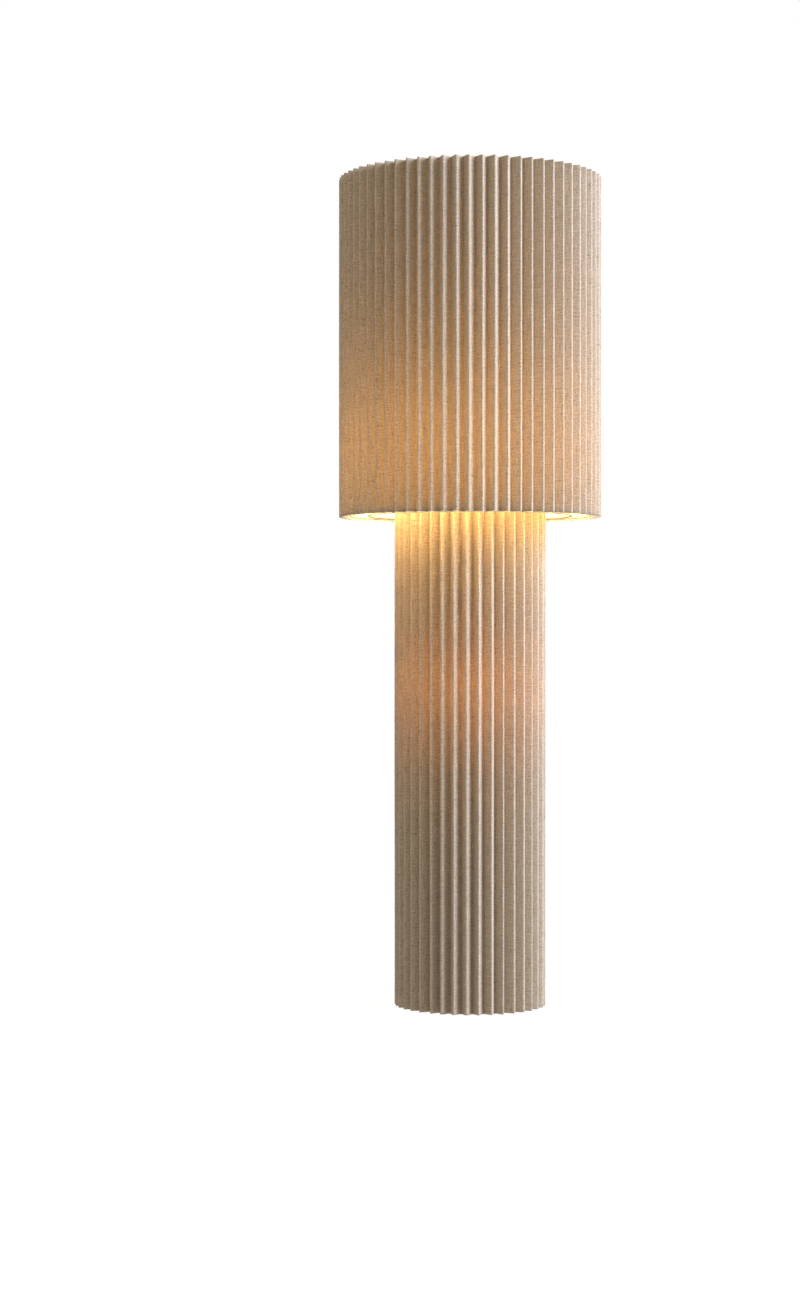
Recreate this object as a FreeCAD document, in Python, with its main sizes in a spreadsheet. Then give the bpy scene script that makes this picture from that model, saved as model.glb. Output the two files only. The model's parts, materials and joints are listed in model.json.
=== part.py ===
import FreeCAD, Part
import math
import os

import Sketcher

# Pleated linen floor lamp, in millimetres, standing on z = 0 with its front towards -Y.
# A weighted base carries four posts, a lower lamp on a shelf and an upper lamp on a top plate.
# The posts stand at the sides and the rear, so that they throw no shadow on the front of the linen.
# A pleated linen sleeve drops over the posts, and a pleated linen drum shade hangs on the post caps.

Vector = FreeCAD.Vector
UP = Vector(0, 0, 1)
BACK = Vector(0, 1, 0)
RIGHT = Vector(1, 0, 0)

# Driving sizes: name, value, meaning
SIZES = [
    ("total_height", 1254, "floor to the top edge of the shade"),
    ("shade_height", 512, "height of the shade's pleated wall"),
    ("shade_diameter", 400, "shade over the outer folds"),
    ("shade_panel_pleats", 33, "pleats in each of the shade's two panels"),
    ("shade_turn", -0.3, "degrees that a front fold of the shade lies to the right"),
    ("sleeve_diameter", 232, "column sleeve over the outer folds"),
    ("sleeve_panel_pleats", 19, "pleats in each of the sleeve's two panels"),
    ("sleeve_turn", -2.7, "degrees that a front fold of the sleeve lies to the right"),
    ("sleeve_hem_gap", 1.5, "floor to the sleeve's bottom edge"),
    ("pleat_depth", 15, "outer fold to inner fold, along the radius"),
    ("cloth_thickness", 0.8, "stiffened linen with its backing"),
    ("hoop_wire", 3, "diameter of the hoops glued inside the pleats"),
    ("glue_gap", 0.2, "hoop to the inner folds"),
    ("seat_gap", 0.3, "a lifting piece to its seat"),
    ("arm_gap", 1.2, "sleeve's top edge to the shade's carrier ring"),
    ("slip_gap", 0.5, "a lifting hoop to what it slides past"),
    ("fit_gap", 0.2, "round pieces that slide into each other"),
    ("pad_thickness", 2.5, "felt pad under the base"),
    ("pad_margin", 2, "base edge to felt edge"),
    ("base_thickness", 20, "weighted base plate"),
    ("base_ledge", 4, "thickness of the ledge that carries the sleeve's hoop"),
    ("base_chamfer", 1.5, "top edge of the base plate"),
    ("post_diameter", 10, "steel post"),
    ("post_margin", 16, "middle of a post to the rim of the plates"),
    ("rear_post_turn", 60, "degrees from each side post to the rear post next to it"),
    ("post_thread", 6, "screw in each end of a post"),
    ("post_thread_depth", 20, "depth of the tapped hole in each end of a post"),
    ("screw_reach", 14, "length of screw inside a post"),
    ("bolt_head_diameter", 13, "head of the bolt under the base"),
    ("bolt_head_height", 6, "head of the bolt under the base"),
    ("bolt_socket", 6, "diameter of the socket in a bolt head"),
    ("bolt_socket_depth", 3, "depth of the socket in a bolt head"),
    ("shelf_drop", 400, "top of the top plate down to the top of the lower lamp's shelf"),
    ("shelf_thickness", 2, "lower lamp's shelf"),
    ("collar_diameter", 18, "stop collar under the shelf"),
    ("collar_height", 8, "stop collar under the shelf"),
    ("plate_rise", 36, "shade's bottom edge up to the top of the top plate"),
    ("plate_thickness", 3, "top plate"),
    ("vent_diameter", 22, "air holes in the top plate"),
    ("vent_circle", 52, "radius of the circle of air holes"),
    ("vent_count", 6, "air holes in the top plate"),
    ("cap_flange_diameter", 16, "post cap that clamps the top plate"),
    ("cap_flange_height", 3, "post cap that clamps the top plate"),
    ("cap_pin_diameter", 6, "pin that locates the shade"),
    ("cap_pin_height", 9, "pin that locates the shade"),
    ("carrier_width", 18, "flat ring that sits on the post caps"),
    ("carrier_thickness", 2.5, "flat ring that sits on the post caps"),
    ("shade_wire", 4, "wire of the shade's arms, spokes and inner ring"),
    ("spoke_length", 27.8, "bottom hoop to the wire ring in the shade's mouth, to the wires' middles"),
    ("arm_bend", 14, "bend of a shade arm, to the wire's middle"),
    ("arm_turn", 90, "degrees from +X to the first shade arm"),
    ("arm_sink", 0.6, "depth of the weld of an arm into the carrier ring"),
    ("hem_to_hoop", 0.5, "pleat edge to the hoop inside it"),
    ("holder_neck_diameter", 16, "neck of a lampholder"),
    ("holder_neck_height", 8, "neck of a lampholder"),
    ("holder_diameter", 40, "lampholder body"),
    ("holder_wall", 3, "lampholder body"),
    ("holder_cap_height", 26, "lower half of a lampholder"),
    ("holder_rim_height", 5, "straight part of the lower half"),
    ("holder_height", 60, "whole lampholder"),
    ("holder_shoulder", 3, "ledge that carries the lampholder's insert"),
    ("insert_height", 8, "ceramic insert"),
    ("shell_diameter", 29, "brass screw shell, outside"),
    ("shell_wall", 0.7, "brass screw shell"),
    ("shell_height", 26, "brass screw shell"),
    ("contact_diameter", 8, "middle contact"),
    ("contact_height", 4, "middle contact"),
    ("upper_holder_drop", 54, "top plate down to the foot of the upper lampholder"),
    ("ring_diameter", 56, "threaded ring that clamps the upper lampholder"),
    ("ring_height", 5, "threaded ring that clamps the upper lampholder"),
    ("ring_notches", 16, "grip notches round a clamp ring"),
    ("ring_notch_diameter", 4, "grip notch"),
    ("nipple_diameter", 10, "threaded tube through the shelf"),
    ("nipple_bore", 7, "wire way in the threaded tube"),
    ("nipple_reach", 7, "threaded tube inside the lampholder's neck"),
    ("nipple_tail", 12, "threaded tube below the shelf"),
    ("nut_across_flats", 14, "nut on the threaded tube"),
    ("nut_height", 4, "nut on the threaded tube"),
    ("bulb_diameter", 60, "glass of a bulb"),
    ("bulb_length", 105, "contact tip to the top of the glass"),
    ("bulb_neck_top", 27, "contact tip to the top of the straight neck"),
    ("bulb_neck_sink", 9, "neck inside the bulb's cap"),
    ("glass_thickness", 1, "wall of the glass"),
    ("thread_gap", 0.6, "screw cap of a bulb to the screw shell"),
    ("bulb_cap_wall", 0.8, "screw cap of a bulb"),
    ("bulb_cap_bottom", 5.5, "contact tip to the foot of the screw cap"),
    ("bulb_cap_top", 26, "contact tip to the top of the screw cap"),
    ("bulb_tip_diameter", 10, "contact button of a bulb"),
    ("bulb_tip_height", 2, "contact button of a bulb"),
    ("bulb_tip_seat", 2.5, "insulator inside the screw cap"),
    ("cord_bore", 7.2, "hole in the gland for the mains cord"),
    ("gland_diameter", 12, "rubber gland in the base plate"),
    ("gland_length", 15, "rubber gland in the base plate"),
    ("gland_flange_diameter", 15, "rubber gland in the base plate"),
    ("gland_flange_height", 2.5, "rubber gland in the base plate"),
    ("gland_recess", 0.8, "gland face to the sleeve's hoop"),
    ("cord_way_diameter", 9, "wire way behind the gland"),
    ("well_diameter", 18, "well in the base plate where the cord comes up"),
    ("well_distance", 27, "middle of the base to the middle of the well"),
    ("well_sump", 2, "floor of the well below the wire way"),
    ("notch_width", 16, "slot in the sleeve's rear hem for the cord"),
    ("notch_rise", 2, "gland's flange to the top of that slot"),
    ("block_length", 30, "terminal block"),
    ("block_width", 20, "terminal block"),
    ("block_height", 14, "terminal block"),
    ("block_screw", 4.5, "screw wells in the terminal block"),
    ("block_screw_depth", 6, "screw wells in the terminal block"),
    ("lead_diameter", 5, "lead inside the column"),
    ("lead_beside_post", 18, "middle of a post to the lead beside it"),
    ("lead_bend", 24, "bend of the lead, to its middle"),
    ("lead_slant", 65, "height of the lead's slant from the post to the middle"),
    ("lead_rise", 34, "top of that slant up to the upper lampholder"),
    ("grommet_diameter", 12, "grommet in the shelf, over its lips"),
    ("grommet_groove", 9, "hole in the shelf for the grommet"),
    ("grommet_height", 6, "grommet in the shelf"),
    ("clip_width", 12, "clip that holds the lead to a post"),
    ("clip_height", 8, "clip that holds the lead to a post"),
    ("clip_wall", 3, "clip round the post and round the lead"),
    ("lower_clip", 200, "floor to the lower clip"),
    ("upper_clip_drop", 35, "foot of the lead's slant down to the upper clip"),
    ("grip_flange_diameter", 14, "cord grip under the upper lampholder"),
    ("grip_flange_height", 4, "cord grip under the upper lampholder"),
]
SHEET = "sizes"


class Size:
    """A length that knows its number and the sheet expression that it comes from."""

    def __init__(self, text, value):
        self.text = text
        self.value = value

    def joined(self, sign, other, value):
        return Size("(%s %s %s)" % (self.text, sign, text_of(other)), value)

    def __add__(self, other):
        return self.joined("+", other, self.value + number(other))

    def __sub__(self, other):
        return self.joined("-", other, self.value - number(other))

    def __mul__(self, other):
        return self.joined("*", other, self.value * number(other))

    def __truediv__(self, other):
        return self.joined("/", other, self.value / number(other))

    def __neg__(self):
        return Size("(0 - %s)" % self.text, -self.value)


def number(size):
    return size.value if isinstance(size, Size) else size


def text_of(size):
    return size.text if isinstance(size, Size) else repr(size)


def root_of(size):
    return Size("sqrt(%s)" % size.text, math.sqrt(size.value))


def sine_of_half_pitch(pleats):
    """Sine of half the angle between two folds."""
    return Size("sin(180 deg / %s)" % pleats.text, math.sin(math.pi / pleats.value))


def cosine_of_half_pitch(pleats):
    return Size("cos(180 deg / %s)" % pleats.text, math.cos(math.pi / pleats.value))


# Document and sheet of sizes
doc = FreeCAD.newDocument("floor_lamp")
sheet = doc.addObject("Spreadsheet::Sheet", SHEET)
size = {}
for row, (name, value, meaning) in enumerate(SIZES, start=1):
    sheet.set("A%d" % row, name)
    sheet.set("B%d" % row, str(value))
    sheet.setAlias("B%d" % row, name)
    sheet.set("C%d" % row, meaning)
doc.recompute()
for name, value, meaning in SIZES:
    size[name] = Size("%s.%s" % (SHEET, name), float(sheet.get(name)))

nodes = {}


# Helpers

def bind(obj, prop, value):
    """Ties a property to the sheet, or sets a plain number."""
    if isinstance(value, Size):
        obj.setExpression(prop, value.text)
    else:
        obj.setExpression(prop, repr(float(value)))


def place(obj, x=0, y=0, z=0):
    bind(obj, "Placement.Base.x", x)
    bind(obj, "Placement.Base.y", y)
    bind(obj, "Placement.Base.z", z)
    return obj


def node(obj, label):
    """Names a finished sub-part, which is written to a file of that name."""
    obj.Label = label
    nodes[label] = obj
    return obj


def origin(body, role):
    for feature in body.Origin.OriginFeatures:
        if feature.Role == role:
            return feature
    raise ValueError(role)


def new_sketch(body, name, plane):
    sketch = body.newObject("Sketcher::SketchObject", name)
    sketch.AttachmentSupport = [(origin(body, plane), "")]
    sketch.MapMode = "FlatFace"
    return sketch


def hold_point(sketch, line, end, x, y):
    """Fixes one end of a line from the sketch's origin."""
    for kind, value in (("DistanceX", x), ("DistanceY", y)):
        index = sketch.addConstraint(Sketcher.Constraint(kind, -1, 1, line, end, number(value)))
        if isinstance(value, Size):
            sketch.setExpression("Constraints[%d]" % index, value.text)


def outline(sketch, points):
    """Draws a closed outline through points whose places come from the sheet."""
    count = len(points)
    for index in range(count):
        start = points[index]
        finish = points[(index + 1) % count]
        sketch.addGeometry(
            Part.LineSegment(
                Vector(number(start[0]), number(start[1]), 0),
                Vector(number(finish[0]), number(finish[1]), 0),
            )
        )
    for index in range(count):
        sketch.addConstraint(Sketcher.Constraint("Coincident", index, 2, (index + 1) % count, 1))
    for index, (x, y) in enumerate(points):
        hold_point(sketch, index, 1, x, y)


def turned(name, points):
    """A turned piece: its section in the XZ plane, spun about Z."""
    body = doc.addObject("PartDesign::Body", name)
    sketch = new_sketch(body, name + "_section", "XZ_Plane")
    outline(sketch, points)
    spin = body.newObject("PartDesign::Revolution", name + "_spin")
    spin.Profile = (sketch, [""])
    spin.ReferenceAxis = (sketch, ["V_Axis"])
    spin.Angle = 360
    return body


def cylinder(name, radius, height, x=0, y=0, z=0, axis=UP):
    solid = doc.addObject("Part::Cylinder", name)
    bind(solid, "Radius", radius)
    bind(solid, "Height", height)
    solid.Placement = FreeCAD.Placement(Vector(0, 0, 0), FreeCAD.Rotation(UP, axis))
    return place(solid, x, y, z)


def box(name, length, width, height, x, y, z):
    solid = doc.addObject("Part::Box", name)
    bind(solid, "Length", length)
    bind(solid, "Width", width)
    bind(solid, "Height", height)
    return place(solid, x, y, z)


def torus(name, ring_radius, wire, z):
    ring = doc.addObject("Part::Torus", name)
    bind(ring, "Radius1", ring_radius)
    bind(ring, "Radius2", wire / 2)
    return place(ring, 0, 0, z)


def fuse(name, shapes):
    result = doc.addObject("Part::MultiFuse", name)
    result.Shapes = shapes
    return result


def cut(name, base, tools):
    result = doc.addObject("Part::Cut", name)
    result.Base = base
    result.Tool = tools[0] if len(tools) == 1 else fuse(name + "_tools", tools)
    return result


def group(name, solids):
    result = doc.addObject("Part::Compound", name)
    result.Links = solids
    return result


# Sizes worked out from the driving ones

shade_bottom = size["total_height"] - size["shade_height"]
shade_pleats = size["shade_panel_pleats"] * 2
sleeve_pleats = size["sleeve_panel_pleats"] * 2
shade_radius = size["shade_diameter"] / 2
sleeve_radius = size["sleeve_diameter"] / 2
base_bottom = size["pad_thickness"]
ledge_top = base_bottom + size["base_ledge"]
base_top = base_bottom + size["base_thickness"]
plate_top = shade_bottom + size["plate_rise"]
plate_bottom = plate_top - size["plate_thickness"]
shelf_top = plate_top - size["shelf_drop"]
shelf_bottom = shelf_top - size["shelf_thickness"]
cap_top = plate_top + size["cap_flange_height"]
carrier_bottom = cap_top + size["seat_gap"]
carrier_top = carrier_bottom + size["carrier_thickness"]
sleeve_top = carrier_bottom - size["arm_gap"]
post_radius = size["post_diameter"] / 2
holder_radius = size["holder_diameter"] / 2
holder_bore = holder_radius - size["holder_wall"]
upper_foot = plate_top - size["upper_holder_drop"]
lead_radius = size["lead_diameter"] / 2
lead_turn_up = upper_foot - size["lead_rise"]
lead_turn_in = lead_turn_up - size["lead_slant"]
gland_height = (ledge_top + base_top) / 2


class Pleats:
    """The section of one pleat, with its outer fold on the X axis."""

    def __init__(self, radius, pleats):
        self.pleats = pleats
        sine = sine_of_half_pitch(pleats)
        cosine = cosine_of_half_pitch(pleats)
        valley = radius - size["pleat_depth"]
        half_width = valley * sine
        rise = radius - valley * cosine
        face = root_of(half_width * half_width + rise * rise)
        wall_at_ridge = size["cloth_thickness"] * face / half_width
        wall_at_valley = size["cloth_thickness"] * face / (half_width * cosine + rise * sine)
        self.inner_radius = valley - wall_at_valley
        self.points = [
            (radius, 0),
            (valley * cosine, half_width),
            (self.inner_radius * cosine, self.inner_radius * sine),
            (radius - wall_at_ridge, 0),
            (self.inner_radius * cosine, -(self.inner_radius * sine)),
            (valley * cosine, -half_width),
        ]
        self.hoop_radius = self.inner_radius - size["glue_gap"] - size["hoop_wire"] / 2
        self.clear_radius = self.hoop_radius - size["hoop_wire"] / 2 - size["slip_gap"]


shade_cloth = Pleats(shade_radius, shade_pleats)
sleeve_cloth = Pleats(sleeve_radius, sleeve_pleats)

inner_ring_radius = shade_cloth.hoop_radius - size["spoke_length"]
post_circle = sleeve_cloth.clear_radius - size["post_margin"]
lead_circle = post_circle - size["lead_beside_post"]
rear_post_angle = math.radians(number(size["rear_post_turn"]))
rear_turn = size["rear_post_turn"].text
rear_post_x = post_circle * Size("cos(%s * 1 deg)" % rear_turn, math.cos(rear_post_angle))
rear_post_y = post_circle * Size("sin(%s * 1 deg)" % rear_turn, math.sin(rear_post_angle))
post_places = [
    ("post_right", post_circle, 0),
    ("post_rear_right", rear_post_x, rear_post_y),
    ("post_rear_left", -rear_post_x, rear_post_y),
    ("post_left", -post_circle, 0),
]


def pleated_panel(name, cloth, per_panel, turn, facing, bottom, top):
    """Half of a pleated wall: one pleat, padded up and repeated round the axis."""
    body = doc.addObject("PartDesign::Body", name)
    sketch = new_sketch(body, name + "_pleat_section", "XY_Plane")
    outline(sketch, cloth.points)
    pad = body.newObject("PartDesign::Pad", name + "_pleat")
    pad.Profile = (sketch, [""])
    bind(pad, "Length", top - bottom)
    pattern = body.newObject("PartDesign::PolarPattern", name + "_pleats")
    pattern.Originals = [pad]
    pattern.Axis = (origin(body, "Z_Axis"), [""])
    bind(pattern, "Angle", -(Size("360", 360.0) / cloth.pleats) + 180)
    bind(pattern, "Occurrences", per_panel)
    body.Tip = pattern
    first_fold = turn + facing + Size("180", 180.0) / cloth.pleats
    body.Placement = FreeCAD.Placement(Vector(0, 0, 0), FreeCAD.Rotation(UP, 1))
    bind(body, "Placement.Rotation.Angle", first_fold)
    return place(body, 0, 0, bottom)


FRONT_HALF = 180
REAR_HALF = 0


# Base

def make_base():
    clear = sleeve_cloth.clear_radius
    ledge_radius = sleeve_cloth.inner_radius - size["slip_gap"]
    pad = cylinder("base_pad", clear - size["pad_margin"], size["pad_thickness"])
    node(pad, "base_pad")

    chamfer = size["base_chamfer"]
    blank = turned(
        "base_blank",
        [
            (0, base_bottom),
            (ledge_radius, base_bottom),
            (ledge_radius, ledge_top),
            (clear, ledge_top),
            (clear, base_top - chamfer),
            (clear - chamfer, base_top),
            (0, base_top),
        ],
    )
    tools = []
    for name, x, y in post_places:
        hole = size["post_thread"] / 2 + size["fit_gap"]
        tools.append(cylinder(name + "_hole", hole, size["base_thickness"], x, y, base_bottom))
        seat = size["bolt_head_diameter"] / 2 + size["slip_gap"]
        depth = size["bolt_head_height"] + size["slip_gap"]
        tools.append(cylinder(name + "_counterbore", seat, depth, x, y, base_bottom))
    gland_end = clear - size["gland_recess"]
    flange_seat = gland_end - size["gland_flange_height"]
    seat_depth = flange_seat - size["gland_length"]
    well = size["well_distance"]
    well_floor = gland_height - size["cord_way_diameter"] / 2 - size["well_sump"]
    tools.append(cylinder("cord_way", size["cord_way_diameter"] / 2, clear - well, 0, well,
                          gland_height, BACK))
    tools.append(cylinder("gland_seat", size["gland_diameter"] / 2, clear - seat_depth, 0, seat_depth,
                          gland_height, BACK))
    tools.append(cylinder("gland_face", size["gland_flange_diameter"] / 2 + size["fit_gap"],
                          clear - flange_seat, 0, flange_seat, gland_height, BACK))
    tools.append(cylinder("cord_well", size["well_diameter"] / 2, base_top - well_floor, 0, well,
                          well_floor))
    node(cut("base_plate_cut", blank, tools), "base_plate")

    bore = size["cord_bore"] / 2
    gland = turned(
        "gland_body",
        [
            (bore, 0),
            (size["gland_diameter"] / 2, 0),
            (size["gland_diameter"] / 2, size["gland_length"]),
            (size["gland_flange_diameter"] / 2, size["gland_length"]),
            (size["gland_flange_diameter"] / 2, size["gland_length"] + size["gland_flange_height"]),
            (bore, size["gland_length"] + size["gland_flange_height"]),
        ],
    )
    gland.Placement = FreeCAD.Placement(Vector(0, 0, 0), FreeCAD.Rotation(UP, BACK))
    place(gland, 0, seat_depth, gland_height)
    node(gland, "cord_gland")


# Posts with their bolts, caps and stop collars

def make_posts():
    length = plate_bottom - base_top
    thread = size["post_thread"] / 2 + size["fit_gap"] / 2
    bolts = []
    caps = []
    collars = []
    for name, x, y in post_places:
        rod = cylinder(name + "_rod", post_radius, length, x, y, base_top)
        depth = size["post_thread_depth"]
        low = cylinder(name + "_low_thread", thread, depth, x, y, base_top)
        high = cylinder(name + "_high_thread", thread, depth, x, y, plate_bottom - depth)
        node(cut(name + "_tapped", rod, [low, high]), name)

        head_top = base_bottom + size["bolt_head_height"] + size["slip_gap"]
        shank = base_top + size["screw_reach"] - base_bottom - size["slip_gap"]
        bolt = turned(
            name + "_bolt",
            [
                (0, size["slip_gap"] + size["bolt_socket_depth"]),
                (size["bolt_socket"] / 2, size["slip_gap"] + size["bolt_socket_depth"]),
                (size["bolt_socket"] / 2, size["slip_gap"]),
                (size["bolt_head_diameter"] / 2, size["slip_gap"]),
                (size["bolt_head_diameter"] / 2, head_top - base_bottom),
                (size["post_thread"] / 2, head_top - base_bottom),
                (size["post_thread"] / 2, shank + size["slip_gap"]),
                (0, shank + size["slip_gap"]),
            ],
        )
        bolts.append(place(bolt, x, y, base_bottom))

        pin = size["cap_pin_diameter"] / 2
        flange = size["cap_flange_height"]
        tip = size["cap_pin_height"] + flange
        stud = size["screw_reach"] + size["plate_thickness"]
        cap = turned(
            name + "_cap",
            [
                (0, -stud),
                (size["post_thread"] / 2, -stud),
                (size["post_thread"] / 2, 0),
                (size["cap_flange_diameter"] / 2, 0),
                (size["cap_flange_diameter"] / 2, flange),
                (pin, flange),
                (pin, tip - pin / 2),
                (pin / 2, tip),
                (0, tip),
            ],
        )
        caps.append(place(cap, x, y, plate_top))

        sleeve = cylinder(name + "_collar", size["collar_diameter"] / 2, size["collar_height"], x, y,
                          shelf_bottom - size["collar_height"])
        bore = cylinder(name + "_collar_bore", post_radius + size["fit_gap"] / 2, size["collar_height"],
                        x, y, shelf_bottom - size["collar_height"])
        collars.append(cut(name + "_collar_cut", sleeve, [bore]))
    node(group("post_bolt_group", bolts), "post_bolts")
    node(group("post_cap_group", caps), "post_caps")
    node(group("shelf_collar_group", collars), "shelf_collars")


# Shelf and top plate

def make_plates():
    clear = sleeve_cloth.clear_radius
    shelf = cylinder("shelf_disc", clear, size["shelf_thickness"], 0, 0, shelf_bottom)
    holes = [cylinder("nipple_hole", size["nipple_diameter"] / 2 + size["fit_gap"] / 2,
                      size["shelf_thickness"], 0, 0, shelf_bottom)]
    for name, x, y in post_places:
        holes.append(cylinder(name + "_shelf_hole", post_radius + size["fit_gap"] / 2,
                              size["shelf_thickness"], x, y, shelf_bottom))
    holes.append(cylinder("grommet_hole", size["grommet_groove"] / 2, size["shelf_thickness"],
                          lead_circle, 0, shelf_bottom))
    node(cut("lamp_shelf_cut", shelf, holes), "lamp_shelf")

    body = doc.addObject("PartDesign::Body", "top_plate_body")
    sketch = new_sketch(body, "top_plate_outline", "XY_Plane")
    rim = sketch.addGeometry(Part.Circle(Vector(0, 0, 0), UP, number(clear)))
    bore = sketch.addGeometry(Part.Circle(Vector(0, 0, 0), UP, number(holder_radius)))
    for circle, diameter in ((rim, clear * 2), (bore, (holder_radius + size["fit_gap"]) * 2)):
        sketch.addConstraint(Sketcher.Constraint("Coincident", circle, 3, -1, 1))
        index = sketch.addConstraint(Sketcher.Constraint("Diameter", circle, number(diameter)))
        sketch.setExpression("Constraints[%d]" % index, diameter.text)
    for name, x, y in post_places:
        diameter = size["post_thread"] + size["fit_gap"] * 2
        hole = sketch.addGeometry(Part.Circle(Vector(number(x), number(y), 0), UP, number(diameter) / 2))
        hold_point(sketch, hole, 3, x, y)
        index = sketch.addConstraint(Sketcher.Constraint("Diameter", hole, number(diameter)))
        sketch.setExpression("Constraints[%d]" % index, diameter.text)
    pad = body.newObject("PartDesign::Pad", "top_plate_pad")
    pad.Profile = (sketch, [""])
    bind(pad, "Length", size["plate_thickness"])
    vent_sketch = new_sketch(body, "vent_outline", "XY_Plane")
    vent = vent_sketch.addGeometry(Part.Circle(Vector(0, 0, 0), UP, number(size["vent_diameter"]) / 2))
    half_turn = math.pi / number(size["vent_count"])
    vent_x = size["vent_circle"] * Size("cos(180 deg / %s)" % size["vent_count"].text, math.cos(half_turn))
    vent_y = size["vent_circle"] * Size("sin(180 deg / %s)" % size["vent_count"].text, math.sin(half_turn))
    hold_point(vent_sketch, vent, 3, vent_x, vent_y)
    index = vent_sketch.addConstraint(Sketcher.Constraint("Diameter", vent, number(size["vent_diameter"])))
    vent_sketch.setExpression("Constraints[%d]" % index, size["vent_diameter"].text)
    pocket = body.newObject("PartDesign::Pocket", "vent_pocket")
    pocket.Profile = (vent_sketch, [""])
    pocket.Type = "ThroughAll"
    pocket.Midplane = True
    pattern = body.newObject("PartDesign::PolarPattern", "vents")
    pattern.Originals = [pocket]
    pattern.Axis = (origin(body, "Z_Axis"), [""])
    pattern.Angle = 360
    bind(pattern, "Occurrences", size["vent_count"])
    body.Tip = pattern
    place(body, 0, 0, plate_bottom)
    node(body, "top_plate")


# Lampholders and bulbs

def make_holder(prefix, foot):
    neck_bore = size["nipple_diameter"] / 2 + size["fit_gap"] / 2
    rim = size["holder_cap_height"] - size["holder_rim_height"]
    cap = turned(
        prefix + "_holder_cap_body",
        [
            (neck_bore, 0),
            (size["holder_neck_diameter"] / 2, 0),
            (size["holder_neck_diameter"] / 2, size["holder_neck_height"]),
            (holder_radius, rim),
            (holder_radius, size["holder_cap_height"]),
            (holder_bore, size["holder_cap_height"]),
            (holder_bore, rim),
            (holder_bore - size["holder_shoulder"], rim),
            (neck_bore, size["holder_neck_height"]),
        ],
    )
    node(place(cap, 0, 0, foot), prefix + "_holder_cap")

    insert_top = rim + size["insert_height"]
    contact_radius = size["contact_diameter"] / 2
    insert = cylinder(prefix + "_insert_disc", holder_bore - size["fit_gap"], size["insert_height"], 0, 0,
                      foot + rim)
    ways = []
    for side in (-1, 1):
        ways.append(cylinder("%s_wire_way_%d" % (prefix, side), size["nipple_bore"] / 4,
                             size["insert_height"], 0, size["contact_diameter"] * side, foot + rim))
    node(cut(prefix + "_insert_cut", insert, ways), prefix + "_holder_insert")

    shell_radius = size["shell_diameter"] / 2
    shell = turned(
        prefix + "_shell_body",
        [
            (shell_radius - size["shell_wall"], 0),
            (shell_radius, 0),
            (shell_radius, size["shell_height"]),
            (shell_radius - size["shell_wall"], size["shell_height"]),
        ],
    )
    node(place(shell, 0, 0, foot + insert_top), prefix + "_holder_shell")
    contact = turned(
        prefix + "_contact_body",
        [
            (0, 0),
            (contact_radius, 0),
            (contact_radius, size["contact_height"] / 2),
            (contact_radius / 2, size["contact_height"]),
            (0, size["contact_height"]),
        ],
    )
    node(place(contact, 0, 0, foot + insert_top), prefix + "_holder_contact")

    skirt_height = size["holder_height"] - size["holder_cap_height"]
    lip = size["holder_wall"] / 2
    skirt = turned(
        prefix + "_skirt_body",
        [
            (holder_bore, 0),
            (holder_radius, 0),
            (holder_radius, skirt_height),
            (holder_bore - lip, skirt_height),
            (holder_bore - lip, skirt_height - lip),
            (holder_bore, skirt_height - lip * 2),
        ],
    )
    node(place(skirt, 0, 0, foot + size["holder_cap_height"]), prefix + "_holder_skirt")
    return foot + insert_top + size["contact_height"]


def make_bulb(prefix, contact_top):
    tip_foot = contact_top + size["seat_gap"]
    cap_radius = size["shell_diameter"] / 2 - size["shell_wall"] - size["thread_gap"]
    cap_bore = cap_radius - size["bulb_cap_wall"]
    button = size["bulb_tip_diameter"] / 2
    tip = turned(
        prefix + "_bulb_tip_body",
        [
            (0, 0),
            (button, 0),
            (button, size["bulb_tip_height"]),
            (cap_bore - size["fit_gap"], size["bulb_cap_bottom"]),
            (cap_bore - size["fit_gap"], size["bulb_cap_bottom"] + size["bulb_tip_seat"]),
            (0, size["bulb_cap_bottom"] + size["bulb_tip_seat"]),
        ],
    )
    node(place(tip, 0, 0, tip_foot), prefix + "_bulb_tip")
    cap = turned(
        prefix + "_bulb_cap_body",
        [
            (cap_bore, size["bulb_cap_bottom"]),
            (cap_radius, size["bulb_cap_bottom"]),
            (cap_radius, size["bulb_cap_top"]),
            (cap_bore, size["bulb_cap_top"]),
        ],
    )
    node(place(cap, 0, 0, tip_foot), prefix + "_bulb_cap")
    glass = doc.addObject("PartDesign::Body", prefix + "_bulb_glass_body")
    sketch = new_sketch(glass, prefix + "_glass_section", "XZ_Plane")
    draw_glass(sketch, cap_bore - size["fit_gap"])
    spin = glass.newObject("PartDesign::Revolution", prefix + "_glass_spin")
    spin.Profile = (sketch, [""])
    spin.ReferenceAxis = (sketch, ["V_Axis"])
    spin.Angle = 360
    node(place(glass, 0, 0, tip_foot), prefix + "_bulb_glass")


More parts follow.
